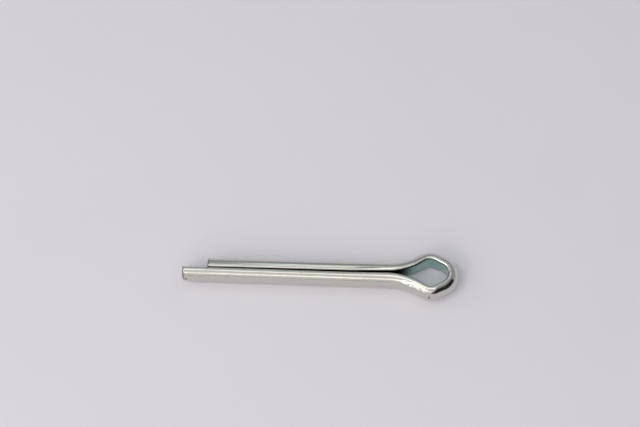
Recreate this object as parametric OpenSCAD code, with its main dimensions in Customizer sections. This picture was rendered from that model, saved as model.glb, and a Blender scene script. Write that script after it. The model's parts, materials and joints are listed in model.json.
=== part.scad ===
// Split cotter pin: one length of half-round wire folded into an eye and two legs.
//
// Frame: X runs along the shank, with the eye towards +X and the open ends towards -X.
// The eye lies flat in the XY plane and Z is up. The origin is on the shank's axis,
// at the shoulder where the legs start to spread into the eye. The long leg is at -Y.
//
// The wire's flat side faces inwards all the way round. Its path, on each side of the
// X axis, is a leg and three bends, the neck, the cheek and the tip, joined by the
// straight lines that touch them: the ramp and the flank.

/* [Wire] */
// Diameter of the round shank that the two legs make where they lie together
shank_diameter = 4.75; // [4.3:0.01:5.2]
// Radius of the two long corners between the wire's flat side and its round side
corner_radius = 0.55; // [0.3:0.01:0.8]

/* [Legs] */
// Length of the short leg, from the shoulder to its end
short_leg = 36.8; // [15:0.1:60]
// How far the long leg reaches past the short one
overhang = 4.9; // [0.5:0.1:10]
// Gap between the legs' flat sides at the shoulder
shoulder_gap = 0.29; // [0.1:0.01:0.5]
// Gap between the legs' flat sides at the end of the short leg
end_gap = 0.05; // [0.05:0.01:0.3]
// Radius of the round-over that the shear leaves on the outer edge of each end
end_radius = 0.35; // [0.1:0.01:0.8]

/* [Eye] */
// Opening of the eye at its widest, flat side to flat side
eye_width = 5.27; // [4.6:0.01:8]
// Length of the eye's opening, from the shoulder to its closed end
eye_length = 10.46; // [9.8:0.01:16]
// Distance from the shoulder to the middle of the cheeks' bends
widest_at = 7.2; // [6.2:0.1:8.2]
// Bend radius of the flat side at the necks, where the legs turn into the eye
neck_radius = 6.18; // [4.5:0.1:8.5]
// Bend radius of the flat side at the cheeks, where the eye is widest
cheek_radius = 1.56; // [1:0.01:2.2]
// Bend radius of the flat side at the closed end of the eye
tip_radius = 1.9; // [1.4:0.01:2.4]

/* [Hidden] */
$fn = 96;
// Clearance that keeps the surfaces of neighbouring stretches from coinciding: bends
// are slimmer than the straights by this much, and the tool that rounds the ends wider
skin = 0.01;
// How far each bend runs into the straights at its two ends
bend_overlap = 0.1;

// Angle at which each leg leans towards the other, to close the gap between them
leg_lean = asin((shoulder_gap - end_gap) / 2 / short_leg);
// How far the flat sides stand back from the shank's axis, halfway along the legs
flat_setback = (shoulder_gap + end_gap) / 4;

// Section: its round side is an arc about the shank's axis, behind the flat side
round_radius = shank_diameter / 2;
corner_z = sqrt(pow(round_radius - corner_radius, 2) - pow(flat_setback + corner_radius, 2));

// Centres of the bends about which the eye's path turns
cheek_centre = [widest_at, eye_width / 2 - cheek_radius];
tip_centre = [eye_length - tip_radius, 0];
// Angle between the flank and the shank's axis: the line touches cheek and tip
to_tip = tip_centre - cheek_centre;
flank_angle = asin((cheek_radius - tip_radius) / norm(to_tip)) - atan2(to_tip.y, to_tip.x);

// Unit vector a quarter turn to the left of a direction, given by its angle from +x
function across(angle) = [-sin(angle), cos(angle)];

// The wire's section: its flat side on the line x = 0 and its round side towards +x
module wire_section(inset = 0) {
    arc_centre = [-flat_setback, 0];
    corner = [corner_radius, corner_z];
    reach = 4 * (corner - arc_centre);
    intersection() {
        translate(arc_centre)
            circle(r = round_radius - inset);
        polygon([corner, arc_centre + reach, arc_centre + [reach.x, -reach.y], [corner.x, -corner.y]]);
    }
    translate([inset, -corner_z])
        square([corner_radius, 2 * corner_z]);
    for (side = [-1, 1])
        translate([corner.x, side * corner.y])
            circle(r = corner_radius - inset);
}

// A straight stretch of wire from a point, with its round side to the left of its direction
module straight(start, direction, length) {
    translate(start)
        rotate([90, 0, 90 + direction])
            linear_extrude(length)
                wire_section();
}

// A bend about a centre, with its flat side at the given radius from it and its round
// side away from the centre, or towards it where it is reversed
module bend(centre, radius, start, sweep, reversed = false) {
    overlap = bend_overlap / radius * 180 / PI;
    translate(centre)
        rotate_extrude(start = start - overlap, angle = sweep + 2 * overlap)
            translate([radius, 0])
                mirror([reversed ? 1 : 0, 0])
                    wire_section(skin);
}

// A round bar along +z with the edge of its lower end rounded over
module rounded_bar(radius, length) {
    rotate_extrude() {
        square([radius - end_radius, length]);
        translate([0, end_radius])
            square([radius, length - end_radius]);
        translate([radius - end_radius, end_radius])
            circle(r = end_radius);
    }
}

// A leg that ends at the origin, with its round side to +y and its outer end edge rounded
module leg(length) {
    translate([-length, 0])
        intersection() {
            straight([0, 0], 0, length);
            translate([0, -flat_setback])
                rotate([0, 90, 0])
                    rounded_bar(round_radius + skin, length + bend_overlap);
        }
}

// One half of the pin, on the +Y side, without the bend that closes the eye
module half(leg_length) {
    shoulder = [0, shoulder_gap / 2];
    neck_centre = shoulder + neck_radius * across(leg_lean);
    to_neck = neck_centre - cheek_centre;
    ramp_angle = atan2(-to_neck.x, to_neck.y) - acos((neck_radius + cheek_radius) / norm(to_neck));
    ramp_start = neck_centre - neck_radius * across(ramp_angle);
    ramp_end = cheek_centre + cheek_radius * across(ramp_angle);
    flank_start = cheek_centre + cheek_radius * across(-flank_angle);
    flank_end = tip_centre + tip_radius * across(-flank_angle);

    translate(shoulder)
        rotate(leg_lean)
            leg(leg_length);
    bend(neck_centre, neck_radius, 270 + leg_lean, ramp_angle - leg_lean, true);
    straight(ramp_start, ramp_angle, norm(ramp_end - ramp_start));
    bend(cheek_centre, cheek_radius, 90 - flank_angle, flank_angle + ramp_angle);
    straight(flank_start, -flank_angle, norm(flank_end - flank_start));
}

module cotter_pin() {
    color("silver") {
        half(short_leg);
        mirror([0, 1])
            half(short_leg + overhang);
        bend(tip_centre, tip_radius, flank_angle - 90, 180 - 2 * flank_angle);
    }
}

cotter_pin();
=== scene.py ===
"""Looks of a split cotter pin of half-round wire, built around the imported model.

Lengths are in metres, in the model's own frame: X runs along the shank with the eye
towards +X, the eye lies flat in the XY plane, Z is up and the long leg is at -Y.
"""

import json
import logging
import math
from collections.abc import Iterable
from dataclasses import dataclass, replace
from enum import Enum
from functools import partial

import bmesh
import bpy
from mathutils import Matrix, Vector, noise


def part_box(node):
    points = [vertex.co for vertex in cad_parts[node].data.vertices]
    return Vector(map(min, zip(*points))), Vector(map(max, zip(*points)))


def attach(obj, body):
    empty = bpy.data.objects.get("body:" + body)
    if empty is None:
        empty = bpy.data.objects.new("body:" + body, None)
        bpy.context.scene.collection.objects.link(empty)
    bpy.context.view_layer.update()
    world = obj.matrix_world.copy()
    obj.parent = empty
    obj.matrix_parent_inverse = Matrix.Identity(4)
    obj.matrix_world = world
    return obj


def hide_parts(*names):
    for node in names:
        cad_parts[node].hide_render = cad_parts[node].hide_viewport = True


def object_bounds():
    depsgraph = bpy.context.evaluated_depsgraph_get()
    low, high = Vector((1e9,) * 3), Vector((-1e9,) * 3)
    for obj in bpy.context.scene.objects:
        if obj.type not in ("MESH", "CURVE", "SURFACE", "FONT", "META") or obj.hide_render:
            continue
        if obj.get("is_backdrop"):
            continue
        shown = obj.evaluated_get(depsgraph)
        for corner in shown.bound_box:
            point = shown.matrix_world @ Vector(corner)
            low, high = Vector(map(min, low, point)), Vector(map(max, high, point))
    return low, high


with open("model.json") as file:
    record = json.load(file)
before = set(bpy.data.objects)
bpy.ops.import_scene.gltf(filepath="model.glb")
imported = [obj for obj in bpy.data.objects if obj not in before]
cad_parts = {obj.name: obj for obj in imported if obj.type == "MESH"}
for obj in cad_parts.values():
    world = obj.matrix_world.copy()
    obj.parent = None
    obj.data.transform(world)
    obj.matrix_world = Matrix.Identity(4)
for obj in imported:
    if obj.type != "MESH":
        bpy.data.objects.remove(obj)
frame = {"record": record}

LOG = logging.getLogger("cotter_pin")
MM = 0.001
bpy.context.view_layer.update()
Settings = dict[str, object]
Inputs = dict[str | int, object]


class Leg(Enum):
    """The two legs, each by the sign of Y on its side of the shank."""

    LONG = -1
    SHORT = 1


def linear(code: str) -> tuple[float, float, float, float]:
    """Turn an sRGB colour into the linear colour that a shader takes.

    Args:
        code: The colour as six hex digits, such as "c0c0c0".

    Returns:
        Red, green, blue and an alpha of 1.
    """
    parts = [int(code[i:i + 2], 16) / 255 for i in (0, 2, 4)]
    red, green, blue = (p / 12.92 if p <= 0.04045 else ((p + 0.055) / 1.055) ** 2.4 for p in parts)
    return red, green, blue, 1.0


def add_node(tree: bpy.types.NodeTree, kind: str, settings: Settings | None = None,
             inputs: Inputs | None = None) -> bpy.types.Node:
    """Add a node to a tree, with its settings and what feeds its inputs.

    Args:
        tree: The node tree that takes the node.
        kind: The node's type name.
        settings: Values for the node's own properties, by name.
        inputs: What goes into each input, by socket name or number: another node's
            output socket, which is linked, or a constant.

    Returns:
        The new node.
    """
    made = tree.nodes.new(kind)
    for name, value in (settings or {}).items():
        setattr(made, name, value)
    for key, value in (inputs or {}).items():
        if isinstance(value, bpy.types.NodeSocket):
            tree.links.new(value, made.inputs[key])
        else:
            made.inputs[key].default_value = value
    return made


def along(angle: float) -> Vector:
    """Unit vector in the XY plane at an angle from +X, in radians."""
    return Vector((math.cos(angle), math.sin(angle)))


def across(angle: float) -> Vector:
    """Unit vector a quarter turn to the left of an angle from +X, in radians."""
    return Vector((-math.sin(angle), math.cos(angle)))


def direction(azimuth: float, elevation: float) -> Vector:
    """Unit vector towards an azimuth, from -Y towards +X, and an elevation, in degrees."""
    a, e = math.radians(azimuth), math.radians(elevation)
    return Vector((math.sin(a) * math.cos(e), -math.cos(a) * math.cos(e), math.sin(e)))


@dataclass(frozen=True)
class Arc:
    """One arc of the wire's section, in whose plane X runs towards the round side.

    Args:
        centre: The arc's centre.
        radius: Its radius.
        start: The angle at which it starts, in radians.
        sweep: The angle through which it runs, in radians.
        steps: How many straight pieces it is drawn with.
    """

    centre: Vector
    radius: float
    start: float
    sweep: float
    steps: int


@dataclass(frozen=True)
class Section:
    """The wire's section: a flat side, a round side and two rounded corners.

    Args:
        round_radius: Radius of the round side, about the shank's axis.
        flat_setback: How far the flat side stands back from that axis.
        corner_radius: Radius of the corners between the two sides.
        round_steps: How many straight pieces the round side is drawn with.
        corner_steps: The same, for each corner.
        flat_steps: The same, for the flat side.
    """

    round_radius: float
    flat_setback: float
    corner_radius: float = 0.55 * MM
    round_steps: int = 64
    corner_steps: int = 11
    flat_steps: int = 26

    @property
    def thickness(self) -> float:
        """Distance from the flat side to the crown of the round side."""
        return self.round_radius - self.flat_setback

    @property
    def corner_height(self) -> float:
        """Height of each corner's centre above the middle of the flat side."""
        reach = self.round_radius - self.corner_radius
        return math.sqrt(reach ** 2 - (self.flat_setback + self.corner_radius) ** 2)

    @property
    def arcs(self) -> dict[str, Arc]:
        """The arcs that close the section behind its flat side, by name."""
        radius, height, steps = self.corner_radius, self.corner_height, self.corner_steps
        half_round = math.atan2(height, self.flat_setback + radius)
        turn = math.pi - half_round
        return {
            "Lower corner": Arc(Vector((radius, -height, 0)), radius, math.pi, turn, steps),
            "Upper corner": Arc(Vector((radius, height, 0)), radius, half_round, turn, steps),
            "Round side": Arc(Vector((-self.flat_setback, 0, 0)), self.round_radius,
                              -half_round, 2 * half_round, self.round_steps),
        }


@dataclass(frozen=True)
class PathPoint:
    """One corner of the wire's path before its bends are rounded.

    Args:
        place: Where the point is, in the XY plane.
        bend: Radius that rounds the path there, or 0 for none.
        turn: Angle through which the path turns there, in radians.
        scale: How large the section is there, as a share of its full size.
        roll: Angle at which the section leans outwards at its top, in radians.
        thinning: How much thinner the wire is there than the section.
    """

    place: Vector
    bend: float = 0.0
    turn: float = 0.0
    scale: float = 1.0
    roll: float = 0.0
    thinning: float = 0.0


@dataclass(frozen=True)
class Forming:
    """How forming has rolled and thinned the wire along one half of the pin.

    Args:
        leg_roll: Angle at which the leg leans outwards at its top, in degrees.
        neck_roll: The same, at the neck.
        cheek_roll: The same, at the cheek.
        cheek_thinning: How much thinner the wire is at the cheek.
    """

    leg_roll: float
    neck_roll: float
    cheek_roll: float
    cheek_thinning: float


@dataclass(frozen=True)
class Nick:
    """A small mark in the wire's surface.

    Args:
        place: Its middle, in the model's frame, in millimetres.
        length: How long it is along the shank, in millimetres.
        width: How wide it is across the shank, in millimetres.
        depth: How deep its middle is pressed in, in millimetres.
        grime_and_shade: How dark its middle is, from 0 to 1.
    """

    place: tuple[float, float, float]
    length: float
    width: float
    depth: float
    grime_and_shade: float = 0.0

    def press(self, shape: bmesh.types.BMesh, soiled: bmesh.types.BMLayerItem) -> None:
        """Push the surface in round the mark's middle.

        Args:
            shape: The wire's mesh.
            soiled: The vertex layer that holds how dark each point is.
        """
        middle = Vector(self.place) * MM
        for vertex in shape.verts:
            away = (vertex.co - middle) / MM
            spread = (2 * away.x / self.length) ** 2 + (4 * (away.y ** 2 + away.z ** 2)) / self.width ** 2
            if spread < 1:
                vertex.co -= vertex.normal * self.depth * MM * (1 - spread) ** 2
                vertex[soiled] = max(vertex[soiled], self.grime_and_shade * (1 - spread))


class SweepTree:
    """Geometry Nodes that round a path's bends and sweep the wire's section along it.

    The path's points carry the numbers of a PathPoint by name. The swept mesh carries
    "across", each point's place in the section, and "along", how far it is along the path.
    """

    def __init__(self, sizes: dict[str, float | int | Vector], arcs: Iterable[str]) -> None:
        """Args:
            sizes: The inputs that are sizes, by name, each with a value of its kind.
            arcs: Names of the section's arcs, with which their sizes' names start.
        """
        self.group = bpy.data.node_groups.new("Swept half-round wire", "GeometryNodeTree")
        kinds = {int: "NodeSocketInt", float: "NodeSocketFloat", Vector: "NodeSocketVector"}
        face = self.group.interface
        face.new_socket("Path", in_out="INPUT", socket_type="NodeSocketGeometry")
        for name, size in sizes.items():
            face.new_socket(name, in_out="INPUT", socket_type=kinds[type(size)])
        face.new_socket("Material", in_out="INPUT", socket_type="NodeSocketMaterial")
        face.new_socket("Wire", in_out="OUTPUT", socket_type="NodeSocketGeometry")

        self.add = partial(add_node, self.group)
        self.given = self.add("NodeGroupInput").outputs
        self.carried = {
            name: self.add("GeometryNodeInputNamedAttribute", inputs={"Name": name}).outputs[0]
            for name in ("bend", "turn", "scale", "roll", "thinning")}
        self.add("NodeGroupOutput", inputs={0: self.surface(self.path(), self.outline(arcs))})

    def chain(self, geometry: bpy.types.NodeSocket,
              stages: Iterable[tuple[str, Settings, Inputs]]) -> bpy.types.NodeSocket:
        """Pass geometry through several nodes, one after another.

        Args:
            geometry: What goes into the first node.
            stages: Each node's type name, its settings and its other inputs.

        Returns:
            What comes out of the last node.
        """
        for kind, settings, inputs in stages:
            geometry = self.add(kind, settings, {0: geometry, **inputs}).outputs[0]
        return geometry

    def outline(self, arcs: Iterable[str]) -> bpy.types.NodeSocket:
        """Draw the section as one closed curve.

        Args:
            arcs: Names of its arcs.

        Returns:
            The curve, whose points carry their own place as "across".
        """
        flat = self.add("GeometryNodeCurvePrimitiveLine", inputs={
            "Start": self.given["Flat top"], "End": self.given["Flat bottom"]}).outputs[0]
        pieces = [self.add("GeometryNodeResampleCurve", {"mode": "COUNT"}, {
            0: flat, "Count": self.given["Flat points"]}).outputs[0]]
        for name in arcs:
            drawn = self.add("GeometryNodeCurveArc", {"mode": "RADIUS"}, {
                "Resolution": self.given[f"{name} points"], "Radius": self.given[f"{name} radius"],
                "Start Angle": self.given[f"{name} start"], "Sweep Angle": self.given[f"{name} sweep"]})
            pieces.append(self.add("GeometryNodeTransform", inputs={
                0: drawn.outputs[0], "Translation": self.given[f"{name} centre"]}).outputs[0])
        joined = self.add("GeometryNodeJoinGeometry")
        for piece in pieces:
            self.group.links.new(piece, joined.inputs[0])
        place = self.add("GeometryNodeInputPosition").outputs[0]
        return self.chain(joined.outputs[0], (
            ("GeometryNodeCurveToMesh", {}, {}),
            ("GeometryNodeMergeByDistance", {"mode": "ALL"}, {"Distance": 0.001 * MM}),
            ("GeometryNodeMeshToCurve", {}, {}),
            ("GeometryNodeStoreNamedAttribute", {"data_type": "FLOAT_VECTOR", "domain": "POINT"},
             {"Name": "across", "Value": place}),
        ))

    def path(self) -> bpy.types.NodeSocket:
        """Round the path's bends and divide it evenly.

        Returns:
            The curve, whose points carry "along" and, as "outwards", the way to the
            wire's round side.
        """
        bend, spacing = self.carried["bend"], self.given["Ring spacing"]
        outer_bend = self.add("ShaderNodeMath", {"operation": "ADD"}, {
            0: bend, 1: self.given["Thickness"]})
        outer_arc = self.add("ShaderNodeMath", {"operation": "MULTIPLY"}, {
            0: self.carried["turn"], 1: outer_bend.outputs[0]})
        bend_points = self.add("ShaderNodeMath", {"operation": "DIVIDE"}, {
            0: outer_arc.outputs[0], 1: spacing})
        here = self.add("GeometryNodeSplineParameter").outputs["Length"]
        index = self.add("GeometryNodeInputIndex").outputs[0]
        after = self.add("ShaderNodeMath", {"operation": "ADD"}, {0: index, 1: 1.0})
        there = self.add("GeometryNodeFieldAtIndex", {"data_type": "FLOAT", "domain": "POINT"}, {
            "Value": here, "Index": after.outputs[0]})
        stretch = self.add("ShaderNodeMath", {"operation": "SUBTRACT"}, {0: there.outputs[0], 1: here})
        cuts = self.add("ShaderNodeMath", {"operation": "DIVIDE"}, {0: stretch.outputs[0], 1: spacing})
        normal = self.add("GeometryNodeInputNormal").outputs[0]
        return self.chain(self.given["Path"], (
            ("GeometryNodeMeshToCurve", {}, {}),
            ("GeometryNodeFilletCurve", {"mode": "POLY"},
             {"Radius": bend, "Limit Radius": False, "Count": bend_points.outputs[0]}),
            ("GeometryNodeSubdivideCurve", {}, {"Cuts": cuts.outputs[0]}),
            ("GeometryNodeSetCurveNormal", {"mode": "Z_UP"}, {}),
            ("GeometryNodeSetCurveTilt", {}, {"Tilt": self.carried["roll"]}),
            ("GeometryNodeStoreNamedAttribute", {"data_type": "FLOAT_VECTOR", "domain": "POINT"},
             {"Name": "outwards", "Value": normal}),
            ("GeometryNodeStoreNamedAttribute", {"data_type": "FLOAT", "domain": "POINT"},
             {"Name": "along", "Value": here}),
        ))

    def surface(self, path: bpy.types.NodeSocket, outline: bpy.types.NodeSocket) -> bpy.types.NodeSocket:
        """Sweep the section along the path, wave its surface a little and thin its bends.

        Args:
            path: The rounded path.
            outline: The section's closed curve.

        Returns:
            The wire, as plain geometry with its material.
        """
        swell = self.add("ShaderNodeTexNoise", {"noise_dimensions": "3D"}, {
            "Scale": self.given["Waves per metre"], "Detail": 1.0,
            "Vector": self.add("GeometryNodeInputPosition").outputs[0]}).outputs[0]
        rise = self.add("ShaderNodeMath", {"operation": "MULTIPLY"}, {0: swell, 1: self.given["Wave rise"]})
        waved = self.add("ShaderNodeVectorMath", {"operation": "SCALE"}, {
            0: self.add("GeometryNodeInputNormal").outputs[0], "Scale": rise.outputs[0]})
        across_wire, outwards = (
            self.add("GeometryNodeInputNamedAttribute", {"data_type": "FLOAT_VECTOR"},
                     {"Name": name}).outputs[0] for name in ("across", "outwards"))
        # The flat side moves outwards by the whole thinning and the crown stays where it is
        depth = self.add("ShaderNodeSeparateXYZ", inputs={0: across_wire}).outputs["X"]
        thinned = self.add("ShaderNodeMapRange", inputs={
            "Value": depth, "From Min": 0.0, "From Max": self.given["Thickness"],
            "To Min": self.carried["thinning"], "To Max": 0.0})
        moved = self.add("ShaderNodeVectorMath", {"operation": "SCALE"}, {
            0: outwards, "Scale": thinned.outputs[0]})
        return self.chain(path, (
            ("GeometryNodeCurveToMesh", {},
             {1: outline, "Scale": self.carried["scale"], "Fill Caps": False}),
            ("GeometryNodeSetPosition", {}, {"Offset": waved.outputs[0]}),
            ("GeometryNodeSetPosition", {}, {"Offset": moved.outputs[0]}),
            ("GeometryNodeSetShadeSmooth", {}, {}),
            ("GeometryNodeRealizeInstances", {}, {}),
            ("GeometryNodeSetMaterial", {}, {"Material": self.given["Material"]}),
        ))


@dataclass
class PinWire:
    """The pin itself: one wire folded into an eye, with its two legs and its cut ends."""

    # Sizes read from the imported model
    section: Section
    long_leg: float
    widest_at: float
    eye_inside_length: float
    eye_inside_width: float
    # Legs, and the bends of the flat side that follow them
    shoulder_gap: float = 0.29 * MM
    end_gap: float = 0.05 * MM
    overhang: float = 4.9 * MM
    neck_start: float = -1.4 * MM
    neck_radius: float = 14 * MM
    cheek_radius: float = 1.56 * MM
    tip_radius: float = 1.9 * MM
    end_radius: float = 0.35 * MM
    # What forming did to the wire: angles are in degrees, and each leg's roll starts to
    # change towards the neck's at roll_fades
    long_half: Forming = Forming(7, 3, -0.5, 0.27 * MM)
    short_half: Forming = Forming(-8, -1, 3, 0.12 * MM)
    roll_fades: float = -9 * MM
    tip_roll: float = -2
    tip_thinning: float = 0.2 * MM
    waviness: float = 0.012 * MM
    wave_length: float = 5 * MM
    nicks: tuple[Nick, ...] = (
        # Chip in the long leg's lower edge, just behind its cut end
        Nick((-41.05, -2.3, 0.25), 0.9, 1.0, 0.1, 0.6),
        # Burr that the shear bent down at the top of the same end
        Nick((-41.6, -0.8, 2.15), 0.6, 0.9, 0.1, 0.7),
        # Both cut ends painted dark all over, rims included, with no dent: painted shade that hides the
        # bright reflection their rounded edges would catch
        Nick((-41.75, -1.3, 0.9), 1.0, 5.4, 0.0, 1.0),
        Nick((-36.85, 1.0, 1.2), 0.9, 5.0, 0.0, 1.0),
        # Narrow land along the top of the short leg
        Nick((-18.0, 0.42, 2.33), 90.0, 1.0, 0.09),
        # Short scratches on the long leg
        Nick((-40.2, -2.02, 1.2), 1.6, 0.3, 0.012, 0.35),
        Nick((-38.0, -2.04, 1.15), 1.7, 0.3, 0.012, 0.3),
        Nick((-33.0, -2.0, 1.25), 0.9, 0.3, 0.01, 0.3),
        Nick((-29.5, -0.55, 2.2), 0.6, 0.7, 0.04, 0.5),
        Nick((-18.3, -1.1, 2.1), 0.6, 0.5, 0.02, 0.3),
        # Flats that the forming tool left on the long half's ramp
        Nick((1.9, -2.15, 1.8), 1.6, 1.0, 0.03),
        Nick((3.2, -2.75, 1.6), 1.3, 1.2, 0.035),
        Nick((4.9, -3.45, 1.65), 1.2, 1.0, 0.03),
        Nick((6.3, -4.1, 1.6), 1.1, 0.9, 0.025),
        # Scratch across the long half's cheek
        Nick((6.95, -4.85, 0.45), 0.45, 1.6, 0.05, 0.8),
    )
    # Tear in the cut ends: its depth and grain, where across the wire it starts and how
    # soon it is full, as shares of the thickness, and the share of the way in from the
    # rim over which it deepens
    tear_depth: float = 0.09 * MM
    tear_grain: float = 0.25 * MM
    tear_start: float = 0.7
    tear_run: float = 0.25
    tear_rim: float = 0.2
    # Fineness of the mesh
    ring_spacing: float = 0.17 * MM
    end_steps: int = 7
    face_rings: int = 14
    sharp_angle: float = 40

    @classmethod
    def from_frame(cls) -> "PinWire":
        """Read the pin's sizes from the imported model.

        Returns:
            The wire, ready to build.
        """
        mounts = {mount["name"]: mount for mount in frame["record"]["mounts"]}
        setback = (cls.shoulder_gap + cls.end_gap) / 4
        section = Section(mounts["shank"]["dims"]["r_mm"] * MM, setback)
        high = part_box("cotter_pin")[1]
        return cls(
            section=section,
            long_leg=mounts["shank"]["dims"]["length_mm"] * MM,
            widest_at=mounts["eye"]["pos_m"][0],
            eye_inside_length=high[0] - section.thickness,
            eye_inside_width=2 * (high[1] - section.thickness),
        )

    @property
    def shoulder(self) -> Vector:
        """Point on the short leg's flat side at the shoulder."""
        return Vector((0, self.shoulder_gap / 2))

    @property
    def lean(self) -> float:
        """Angle at which each leg leans towards the other, in radians."""
        return math.asin((self.shoulder_gap - self.end_gap) / 2 / self.leg_length(Leg.SHORT))

    @property
    def cheek(self) -> Vector:
        """Centre of the bend at the short half's cheek."""
        return Vector((self.widest_at, self.eye_inside_width / 2 - self.cheek_radius))

    @property
    def flank_angle(self) -> float:
        """Angle between each flank of the eye and the shank's axis, in radians."""
        to_tip = Vector((self.eye_inside_length - self.tip_radius, 0)) - self.cheek
        return (math.asin((self.cheek_radius - self.tip_radius) / to_tip.length)
                - math.atan2(to_tip.y, to_tip.x))

    def leg_length(self, leg: Leg) -> float:
        """Length of a leg from the shoulder to its cut end."""
        return self.long_leg - (self.overhang if leg is Leg.SHORT else 0)

    def end_path(self, leg: Leg, roll: float) -> list[PathPoint]:
        """Lay out the rounded edge at a leg's cut end, on the +Y side.

        Args:
            leg: Which leg it is.
            roll: How far the leg is rolled, in radians.

        Returns:
            The points from the cut end inwards.
        """
        points = []
        for step in range(self.end_steps + 1):
            turn = math.pi / 2 * step / self.end_steps
            depth = self.end_radius * (1 - math.cos(turn))
            trim = self.end_radius * (1 - math.sin(turn))
            place = self.shoulder - (self.leg_length(leg) - depth) * along(self.lean)
            points.append(PathPoint(place, scale=1 - trim / self.section.thickness, roll=roll))
        return points

    def half_path(self, leg: Leg) -> list[PathPoint]:
        """Lay out the path of one half, from the leg's end to the bend that closes the eye.

        Args:
            leg: Which leg the half has.

        Returns:
            The points from the cut end to the cheek.
        """
        neck_entry = self.shoulder + self.neck_start * along(self.lean)
        neck = neck_entry + self.neck_radius * across(self.lean)
        away = neck - self.cheek
        ramp = math.atan2(-away.x, away.y) - math.acos((self.neck_radius + self.cheek_radius) / away.length)
        ramp_end = self.cheek + self.cheek_radius * across(ramp)
        neck_turn, cheek_turn = ramp - self.lean, ramp + self.flank_angle
        neck_corner = neck_entry + self.neck_radius * math.tan(neck_turn / 2) * along(self.lean)
        cheek_corner = ramp_end + self.cheek_radius * math.tan(cheek_turn / 2) * along(ramp)

        formed = self.long_half if leg is Leg.LONG else self.short_half
        leg_roll, neck_roll, cheek_roll = (
            math.radians(roll) for roll in (formed.leg_roll, formed.neck_roll, formed.cheek_roll))
        points = [
            *self.end_path(leg, leg_roll),
            PathPoint(self.shoulder + self.roll_fades * along(self.lean), roll=leg_roll),
            PathPoint(neck_corner, self.neck_radius, neck_turn, roll=neck_roll),
            PathPoint(cheek_corner, self.cheek_radius, cheek_turn, roll=cheek_roll,
                      thinning=formed.cheek_thinning),
        ]
        return [replace(point, place=Vector((point.place.x, leg.value * point.place.y)))
                for point in points]

    def path(self) -> list[PathPoint]:
        """Lay out the whole path of the wire's flat side.

        Returns:
            The points from the long leg's end round the eye to the short leg's.
        """
        tip_corner = (self.eye_inside_length - self.tip_radius
                      + self.tip_radius / math.sin(self.flank_angle))
        return [
            *self.half_path(Leg.LONG),
            PathPoint(Vector((tip_corner, 0)), self.tip_radius, math.pi - 2 * self.flank_angle,
                      roll=math.radians(self.tip_roll), thinning=self.tip_thinning),
            *reversed(self.half_path(Leg.SHORT)),
        ]

    def path_object(self) -> bpy.types.Object:
        """Make the path a line of edges whose points carry their own numbers.

        Returns:
            An object that holds the line.
        """
        points = self.path()
        mesh = bpy.data.meshes.new("cotter_pin_wire")
        mesh.from_pydata([(p.place.x, p.place.y, 0) for p in points],
                         [(i, i + 1) for i in range(len(points) - 1)], [])
        for name in ("bend", "turn", "scale", "roll", "thinning"):
            values = [getattr(point, name) for point in points]
            mesh.attributes.new(name, "FLOAT", "POINT").data.foreach_set("value", values)
        made = bpy.data.objects.new("cotter_pin_wire", mesh)
        bpy.context.scene.collection.objects.link(made)
        return made

    def sweep_sizes(self) -> dict[str, float | int | Vector]:
        """Name the sizes that the sweep takes.

        Returns:
            The sizes, by the names of the tree's inputs.
        """
        height = self.section.corner_height
        sizes = {
            "Flat top": Vector((0, height, 0)),
            "Flat bottom": Vector((0, -height, 0)),
            "Flat points": self.section.flat_steps + 1,
            "Thickness": self.section.thickness,
            "Wave rise": -self.waviness,
            "Waves per metre": 1 / self.wave_length,
            "Ring spacing": self.ring_spacing,
        }
        for name, arc in self.section.arcs.items():
            sizes[f"{name} centre"] = arc.centre
            sizes[f"{name} radius"] = arc.radius
            sizes[f"{name} start"] = arc.start
            sizes[f"{name} sweep"] = arc.sweep
            sizes[f"{name} points"] = arc.steps + 1
        return sizes

    def sweep(self, material: bpy.types.Material) -> bpy.types.Object:
        """Sweep the section along the path and leave a plain mesh.

        Args:
            material: The finish that the wire gets.

        Returns:
            The wire, open at its two cut ends.
        """
        piece = self.path_object()
        sizes = self.sweep_sizes()
        group = SweepTree(sizes, self.section.arcs).group
        modifier = piece.modifiers.new("Sweep", "NODES")
        modifier.node_group = group
        sockets = {item.name: item.identifier for item in group.interface.items_tree
                   if item.in_out == "INPUT"}
        for name, value in {**sizes, "Material": material}.items():
            modifier[sockets[name]] = value
        evaluated = piece.evaluated_get(bpy.context.evaluated_depsgraph_get())
        line, piece.data = piece.data, bpy.data.meshes.new_from_object(evaluated)
        piece.modifiers.remove(modifier)
        bpy.data.meshes.remove(line)
        bpy.data.node_groups.remove(group)
        piece.data.name = piece.name
        return piece

    def close_ends(self, shape: bmesh.types.BMesh) -> None:
        """Close both cut ends with a sheared face.

        Args:
            shape: The wire's mesh, which gains a vertex layer that marks the sheared faces.
        """
        sheared = shape.verts.layers.float.new("sheared")
        open_edges = [edge for edge in shape.edges if edge.is_boundary]
        # The long leg ends behind this X, and the short one ahead of it
        between = -(self.leg_length(Leg.LONG) + self.leg_length(Leg.SHORT)) / 2
        for leg in Leg:
            rim = self.rim_loop([edge for edge in open_edges
                                 if (edge.verts[0].co.x - between) * leg.value > 0])
            middle = sum((vertex.co for vertex in rim), Vector()) / len(rim)
            outside = rim
            for step in range(1, self.face_rings):
                share = 1 - step / self.face_rings
                inside = []
                for vertex in rim:
                    made = shape.verts.new(middle + (vertex.co - middle) * share, vertex)
                    made[sheared] = 1.0
                    made.co.x += self.shear_depth(made.co, leg, share)
                    inside.append(made)
                self.bridge(shape, outside, inside)
                outside = inside
            centre = shape.verts.new(middle, outside[0])
            centre[sheared] = 1.0
            centre.co.x += self.shear_depth(centre.co, leg, 0)
            for i, vertex in enumerate(outside):
                shape.faces.new((vertex, outside[i - 1], centre)).smooth = True

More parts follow.
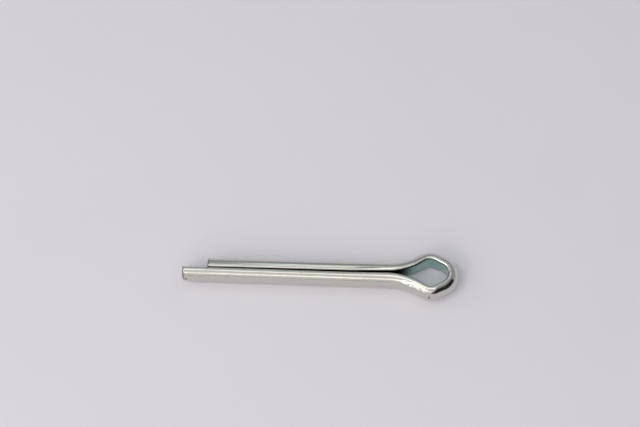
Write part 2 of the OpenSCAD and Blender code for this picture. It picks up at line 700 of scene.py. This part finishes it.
    @staticmethod
    def rim_loop(edges: list[bmesh.types.BMEdge]) -> list[bmesh.types.BMVert]:
        """Put the vertices of an open rim in order.

        Args:
            edges: The rim's edges, in any order.

        Returns:
            Its vertices, each next to the one before.
        """
        ring = set(edges)
        loop = [edges[0].verts[0]]
        edge = edges[0]
        while True:
            vertex = edge.other_vert(loop[-1])
            if vertex is loop[0]:
                return loop
            loop.append(vertex)
            edge = next(e for e in vertex.link_edges if e in ring and e is not edge)

    @staticmethod
    def bridge(shape: bmesh.types.BMesh, outside: list[bmesh.types.BMVert],
               inside: list[bmesh.types.BMVert]) -> None:
        """Join two rings of vertices with a band of faces.

        Args:
            shape: The mesh that they are in.
            outside: The outer ring, in order.
            inside: The inner ring, in the same order.
        """
        for i in range(len(outside)):
            corners = (outside[i], outside[i - 1], inside[i - 1], inside[i])
            shape.faces.new(corners).smooth = True

    def shear_depth(self, place: Vector, leg: Leg, share: float) -> float:
        """How far a sheared face is sunk at a point, in metres.

        Args:
            place: The point on the face.
            leg: The leg that ends there.
            share: How far the point is towards the rim, from 0 at the middle to 1.

        Returns:
            The depth: the cut is smooth near the round side, then torn.
        """
        depth = place.y * leg.value / self.section.thickness
        torn = min(max((self.tear_start - depth) / self.tear_run, 0.0), 1.0)
        increment, lacunarity, octaves = 0.7, 2.0, 3
        swing = noise.fractal(place / self.tear_grain, increment, lacunarity, octaves)
        rough = 0.5 + 0.5 * swing
        return min(1 - share, self.tear_rim) / self.tear_rim * torn * self.tear_depth * rough

    def build(self, material: bpy.types.Material) -> bpy.types.Object:
        """Make the wire, close its ends and press its small marks into it.

        Args:
            material: The finish that the wire gets.

        Returns:
            The finished piece.
        """
        piece = self.sweep(material)
        shape = bmesh.new()
        shape.from_mesh(piece.data)
        self.close_ends(shape)
        bmesh.ops.recalc_face_normals(shape, faces=shape.faces)
        shape.normal_update()
        soiled = shape.verts.layers.float.new("soiled")
        for nick in self.nicks:
            nick.press(shape, soiled)
        shape.to_mesh(piece.data)
        shape.free()
        piece.data.set_sharp_from_angle(angle=math.radians(self.sharp_angle))
        return piece


@dataclass(frozen=True)
class BrightZinc:
    """Bright zinc plate on drawn steel wire, with a clear chromate film.

    The plate mirrors the room. The drawing die leaves fine lines along the wire, which
    the thin plate follows, so that highlights stretch and fray across them. The plate
    itself is a close, fine grain, which bending opens up and which softens the eye's
    reflections. The film is almost colourless on the round side and faintly yellow in
    patches. It lies thicker on the flat side, where it turns reflections a cool green.
    All along the legs, and a little way into the eye, the flat side is painted near black,
    as painted shade for the deep gap between the legs. The cut ends are bare, torn steel
    under the plate's edge, nicks hold grime, and the cut ends' rims are painted dark as painted shade.
    """

    plate: str = "d7d5cf"
    yellow_film: str = "d4d5bf"
    green_film: str = "a9c4bf"
    # Painted shade: near black laid on the flat side for the deep, unlit gap between the legs
    gap_shade: str = "1c2020"
    cut_steel: str = "8d8b88"
    # Grime in nicks and scratches; the same colour paints shade over the cut ends' rims
    dirt_and_rim_shade: str = "4a4a49"
    # Roughness of the plate, from the smoothest line to the roughest, and of the rest
    roughness: tuple[float, float] = (0.11, 0.19)
    cut_roughness: float = 0.42
    dirt_and_rim_shade_roughness: float = 0.5
    # Die lines and the plate's grain are finer than this on the real wire, and both are
    # drawn coarser so that they show
    line_spacing: float = 0.4 * MM
    line_length: float = 9 * MM
    line_depth: float = 0.009 * MM
    grain: float = 0.14 * MM
    # Depth of the grain on the legs and in the eye, and where along X it changes
    grain_depth: tuple[float, float] = (0.0012 * MM, 0.004 * MM)
    grain_opens: tuple[float, float] = (-1.5 * MM, 3 * MM)
    patch: float = 4 * MM
    # Levels of the noise between which patches turn yellow and lines turn rough
    yellow_levels: tuple[float, float] = (0.5, 0.75)
    line_levels: tuple[float, float] = (0.3, 0.7)
    yellowest: float = 0.3
    # How far into the section the flat side's film fades, and where along X the painted
    # shade of the gap between the legs fades towards the eye
    flat_edge: float = 0.12 * MM
    gap_shade_ends: tuple[float, float] = (1.0 * MM, 4.2 * MM)

    def material(self) -> bpy.types.Material:
        """Build the finish.

        Returns:
            The finish, as a material.
        """
        made = bpy.data.materials.new("bright_zinc_plate")
        made.use_nodes = True
        made.node_tree.nodes.clear()
        add = partial(add_node, made.node_tree)
        place = add("ShaderNodeTexCoord").outputs["Object"]
        along_shank = add("ShaderNodeSeparateXYZ", inputs={0: place}).outputs["X"]
        across_wire, along_wire, sheared, soiled = (
            add("ShaderNodeAttribute", {"attribute_name": name}).outputs[socket] for name, socket in (
                ("across", "Vector"), ("along", "Fac"), ("sheared", "Fac"), ("soiled", "Fac")))
        section = add("ShaderNodeSeparateXYZ", inputs={0: across_wire}).outputs

        # Lines run with the wire: one lasts for line_length and they lie line_spacing apart
        on_wire = add("ShaderNodeCombineXYZ", inputs={0: along_wire, 1: section["X"], 2: section["Y"]})
        drawn = add("ShaderNodeVectorMath", {"operation": "MULTIPLY"}, {0: on_wire.outputs[0], 1: (
            1 / self.line_length, 1 / self.line_spacing, 1 / self.line_spacing)})
        lines, grains, patches = (
            add("ShaderNodeTexNoise", inputs={
                "Vector": vector, "Scale": scale, "Detail": detail, "Roughness": fineness}).outputs[0]
            for vector, scale, detail, fineness in (
                (drawn.outputs[0], 1.0, 3.0, 0.62),
                (place, 1 / self.grain, 2.0, 0.5),
                (place, 1 / self.patch, 2.0, 0.5)))
        opened, flat, gap_shaded, yellow, polish = (
            add("ShaderNodeMapRange", {"interpolation_type": "SMOOTHSTEP"}, {
                "Value": value, "From Min": start, "From Max": end, "To Min": first, "To Max": last,
            }).outputs[0]
            for value, (start, end), (first, last) in (
                (along_shank, self.grain_opens, self.grain_depth),
                (section["X"], (0.0, self.flat_edge), (1.0, 0.0)),
                (along_shank, self.gap_shade_ends, (1.0, 0.0)),
                (patches, self.yellow_levels, (0.0, self.yellowest)),
                (lines, self.line_levels, self.roughness)))

        # Each layer covers the ones before it by its share, which is input 0 of a Mix node.
        # Inputs 2 and 3 are the numbers below and above it, and 6 and 7 the colours
        # The flat side's green film, painted near black along the legs and a little into the eye: painted
        # shade for the deep gap between them
        film = add("ShaderNodeMix", {"data_type": "RGBA"}, {
            0: gap_shaded, 6: linear(self.green_film), 7: linear(self.gap_shade)})
        colour, roughness = linear(self.plate), polish
        # The last layer darkens with grime in the nicks and with painted shade on the cut ends' rims
        for share, layer in ((yellow, linear(self.yellow_film)), (flat, film.outputs[2]),
                             (sheared, linear(self.cut_steel)), (soiled, linear(self.dirt_and_rim_shade))):
            colour = add("ShaderNodeMix", {"data_type": "RGBA"}, {0: share, 6: colour, 7: layer}).outputs[2]
        for share, layer in ((sheared, self.cut_roughness), (soiled, self.dirt_and_rim_shade_roughness)):
            roughness = add("ShaderNodeMix", inputs={0: share, 2: roughness, 3: layer}).outputs[0]
        relief = {}
        for height, depth in ((lines, self.line_depth), (grains, opened)):
            relief["Normal"] = add("ShaderNodeBump", inputs={
                "Strength": 1.0, "Distance": depth, "Height": height, **relief}).outputs[0]
        shader = add("ShaderNodeBsdfPrincipled", inputs={
            "Base Color": colour, "Metallic": 1.0, "Roughness": roughness, **relief})
        add("ShaderNodeOutputMaterial", inputs={"Surface": shader.outputs[0]})
        return made


@dataclass(frozen=True)
class PaleBoard:
    """Matt white board, which has hardly any gloss and no grain that shows.

    Its tone wanders a little over a few centimetres.
    """

    colour: str = "f6f2f8"
    shaded: str = "f2eef5"
    patch: float = 30 * MM
    roughness: float = 0.9
    gloss: float = 0.1

    def material(self) -> bpy.types.Material:
        """Build the finish.

        Returns:
            The finish, as a material.
        """
        made = bpy.data.materials.new("pale_board")
        made.use_nodes = True
        made.node_tree.nodes.clear()
        add = partial(add_node, made.node_tree)
        place = add("ShaderNodeTexCoord").outputs["Object"]
        patches = add("ShaderNodeTexNoise", inputs={
            "Vector": place, "Scale": 1 / self.patch, "Detail": 2.0})
        colour = add("ShaderNodeMix", {"data_type": "RGBA"}, {
            0: patches.outputs[0], 6: linear(self.colour), 7: linear(self.shaded)})
        shader = add("ShaderNodeBsdfPrincipled", inputs={
            "Base Color": colour.outputs[2], "Roughness": self.roughness,
            "Specular IOR Level": self.gloss})
        add("ShaderNodeOutputMaterial", inputs={"Surface": shader.outputs[0]})
        return made


@dataclass(frozen=True)
class SoftBox:
    """A flat soft light that faces the pin.

    Args:
        name: What it is called.
        azimuth: Where it stands, in degrees from -Y towards +X.
        elevation: How high it stands, in degrees.
        width: How wide it looks from the pin, in degrees.
        height: How high it looks from the pin, in degrees.
        radiance: How bright its face is.
        colour: Its colour.
        distance: How far off it stands.
    """

    name: str
    azimuth: float
    elevation: float
    width: float
    height: float
    radiance: float
    colour: str
    distance: float = 0.7

    def place(self) -> bpy.types.Object:
        """Set the light up.

        Returns:
            The light, turned towards the pin.
        """
        light = bpy.data.lights.new(self.name, "AREA")
        light.shape = "RECTANGLE"
        light.size = 2 * self.distance * math.tan(math.radians(self.width) / 2)
        light.size_y = 2 * self.distance * math.tan(math.radians(self.height) / 2)
        light.energy = self.radiance * math.pi * light.size * light.size_y
        light.color = linear(self.colour)[:3]
        made = bpy.data.objects.new(self.name, light)
        back = direction(self.azimuth, self.elevation)
        made.location = back * self.distance
        made.rotation_euler = back.to_track_quat("Z", "Y").to_euler()
        bpy.context.scene.collection.objects.link(made)
        return made


@dataclass(frozen=True)
class RoomPatch:
    """A soft-edged stretch of the room that is brighter or darker than the rest.

    Args:
        azimuth: Where its middle is, in degrees from -Y towards +X.
        elevation: How high its middle is, in degrees.
        width: How wide it looks from the pin, in degrees.
        height: How high it looks from the pin, in degrees.
        share: How bright it is as a share of the rest.
        edge: How wide its soft edge is, in degrees.
    """

    azimuth: float
    elevation: float
    width: float
    height: float
    share: float
    edge: float

    def level(self, tree: bpy.types.NodeTree, look: bpy.types.NodeSocket) -> bpy.types.NodeSocket:
        """Work out the patch's share in one direction of the room.

        Args:
            tree: The room's node tree.
            look: The direction.

        Returns:
            The patch's share inside it, and 1 outside.
        """
        add = partial(add_node, tree)
        middle = direction(self.azimuth, self.elevation)
        up = direction(self.azimuth, self.elevation + 90)
        aside, forwards, upwards = (
            add("ShaderNodeVectorMath", {"operation": "DOT_PRODUCT"}, {0: look, 1: axis}).outputs["Value"]
            for axis in (middle.cross(up), middle, up))
        turned = add("ShaderNodeMath", {"operation": "ARCTAN2"}, {0: aside, 1: forwards})
        raised = add("ShaderNodeMath", {"operation": "ARCSINE"}, {0: upwards})
        inside = 1.0
        for angle, size in ((turned, self.width), (raised, self.height)):
            half = math.radians(size) / 2
            off = add("ShaderNodeMath", {"operation": "ABSOLUTE"}, {0: angle.outputs[0]})
            within = add("ShaderNodeMapRange", {"interpolation_type": "SMOOTHSTEP"}, {
                "Value": off.outputs[0], "From Min": half, "From Max": half + math.radians(self.edge),
                "To Min": 1.0, "To Max": 0.0})
            inside = add("ShaderNodeMath", {"operation": "MULTIPLY"}, {
                0: inside, 1: within.outputs[0]}).outputs[0]
        return add("ShaderNodeMath", {"operation": "MULTIPLY_ADD"}, {
            0: inside, 1: self.share - 1, 2: 1.0}).outputs[0]


@dataclass
class Studio:
    """Floor, lights, surroundings and camera."""

    azimuth: float = 1.904
    elevation: float = 63.99
    distance: float = 351.16 * MM
    lens: float = 100.0
    sensor: float = 36.0
    clip: tuple[float, float] = (0.01, 20.0)
    aim: Vector = Vector((-14.957 * MM, 10.439 * MM, 5.413 * MM))
    floor_size: float = 3.0
    room_colour: str = "f4fcff"
    room_level: float = 0.37
    # Dark end of the room, low on the right
    dark_end: RoomPatch = RoomPatch(49, 18, 72, 41, 0.04, 7)
    boxes: tuple[SoftBox, ...] = (
        # Window on the left, and the wall that it lights
        SoftBox("window", -66, 30, 84, 40, 0.7, "fff6f4"),
        SoftBox("window_side", -14, 17, 44, 26, 0.4, "fff6f4"),
        # In front: a strip that draws a bright line along the near leg, in a softer light
        SoftBox("strip", -4, 29, 46, 8, 1.3, "fff8f4"),
        SoftBox("front", -5, 45, 60, 20, 0.42, "fffaf6"),
        # High on the left: the highlights on the near ramp
        SoftBox("lamp", -45, 38, 18, 13, 3.0, "fffaf6"),
        SoftBox("high_lamp", -72, 60, 10, 10, 8.0, "fffcf8"),
        # Overhead: the upper bright line along the near leg
        SoftBox("overhead", -5, 69, 48, 24, 1.15, "fffbf8"),
        # Ceiling behind the pin
        SoftBox("ceiling", 180, 66, 40, 16, 0.75, "fbfffd"),
    )

    def camera(self) -> bpy.types.Object:
        """Set up the camera, which looks down at the pin from in front.

        Returns:
            The camera, which is the scene's own.
        """
        lens = bpy.data.cameras.new("camera")
        lens.lens = self.lens
        lens.sensor_width = self.sensor
        lens.clip_start, lens.clip_end = self.clip
        made = bpy.data.objects.new("camera", lens)
        back = direction(self.azimuth, self.elevation)
        made.location = self.aim + self.distance * back
        made.rotation_euler = back.to_track_quat("Z", "Y").to_euler()
        bpy.context.scene.collection.objects.link(made)
        bpy.context.scene.camera = made
        return made

    def floor(self, material: bpy.types.Material, level: float) -> bpy.types.Object:
        """Lay the floor that the pin rests on.

        Args:
            material: The floor's finish.
            level: The height that it lies at.

        Returns:
            The floor, which isn't part of the object.
        """
        half = self.floor_size / 2
        mesh = bpy.data.meshes.new("floor")
        corners = [(x * half, y * half, level) for x, y in ((-1, -1), (1, -1), (1, 1), (-1, 1))]
        mesh.from_pydata(corners, [], [(0, 1, 2, 3)])
        mesh.materials.append(material)
        made = bpy.data.objects.new("floor", mesh)
        bpy.context.scene.collection.objects.link(made)
        made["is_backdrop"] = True
        return made

    def surroundings(self) -> None:
        """Set the dim room round the set."""
        world = bpy.data.worlds.new("room")
        world.use_nodes = True
        world.node_tree.nodes.clear()
        add = partial(add_node, world.node_tree)
        look = add("ShaderNodeTexCoord").outputs["Generated"]
        level = add("ShaderNodeMath", {"operation": "MULTIPLY"}, {
            0: self.room_level, 1: self.dark_end.level(world.node_tree, look)})
        background = add("ShaderNodeBackground", inputs={
            "Color": linear(self.room_colour), "Strength": level.outputs[0]})
        add("ShaderNodeOutputWorld", inputs={"Surface": background.outputs[0]})
        bpy.context.scene.world = world

    def build(self, level: float) -> None:
        """Set the whole studio up.

        Args:
            level: The height of the pin's lowest point.
        """
        self.floor(PaleBoard().material(), level)
        for box in self.boxes:
            box.place()
        self.surroundings()
        self.camera()


def main() -> None:
    """Build the pin and the studio round it, and report each piece."""
    logging.basicConfig(level=logging.INFO, format="%(name)s: %(message)s")
    bpy.context.scene.view_settings.view_transform = "Standard"
    wire = PinWire.from_frame().build(BrightZinc().material())
    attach(wire, "root")
    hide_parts("cotter_pin")
    LOG.info("%s: %d faces", wire.name, len(wire.data.polygons))
    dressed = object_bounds()
    studio = Studio()
    studio.build(dressed[0].z)
    LOG.info("studio: a floor and %d lights", len(studio.boxes))


if __name__ == "__main__":
    main()
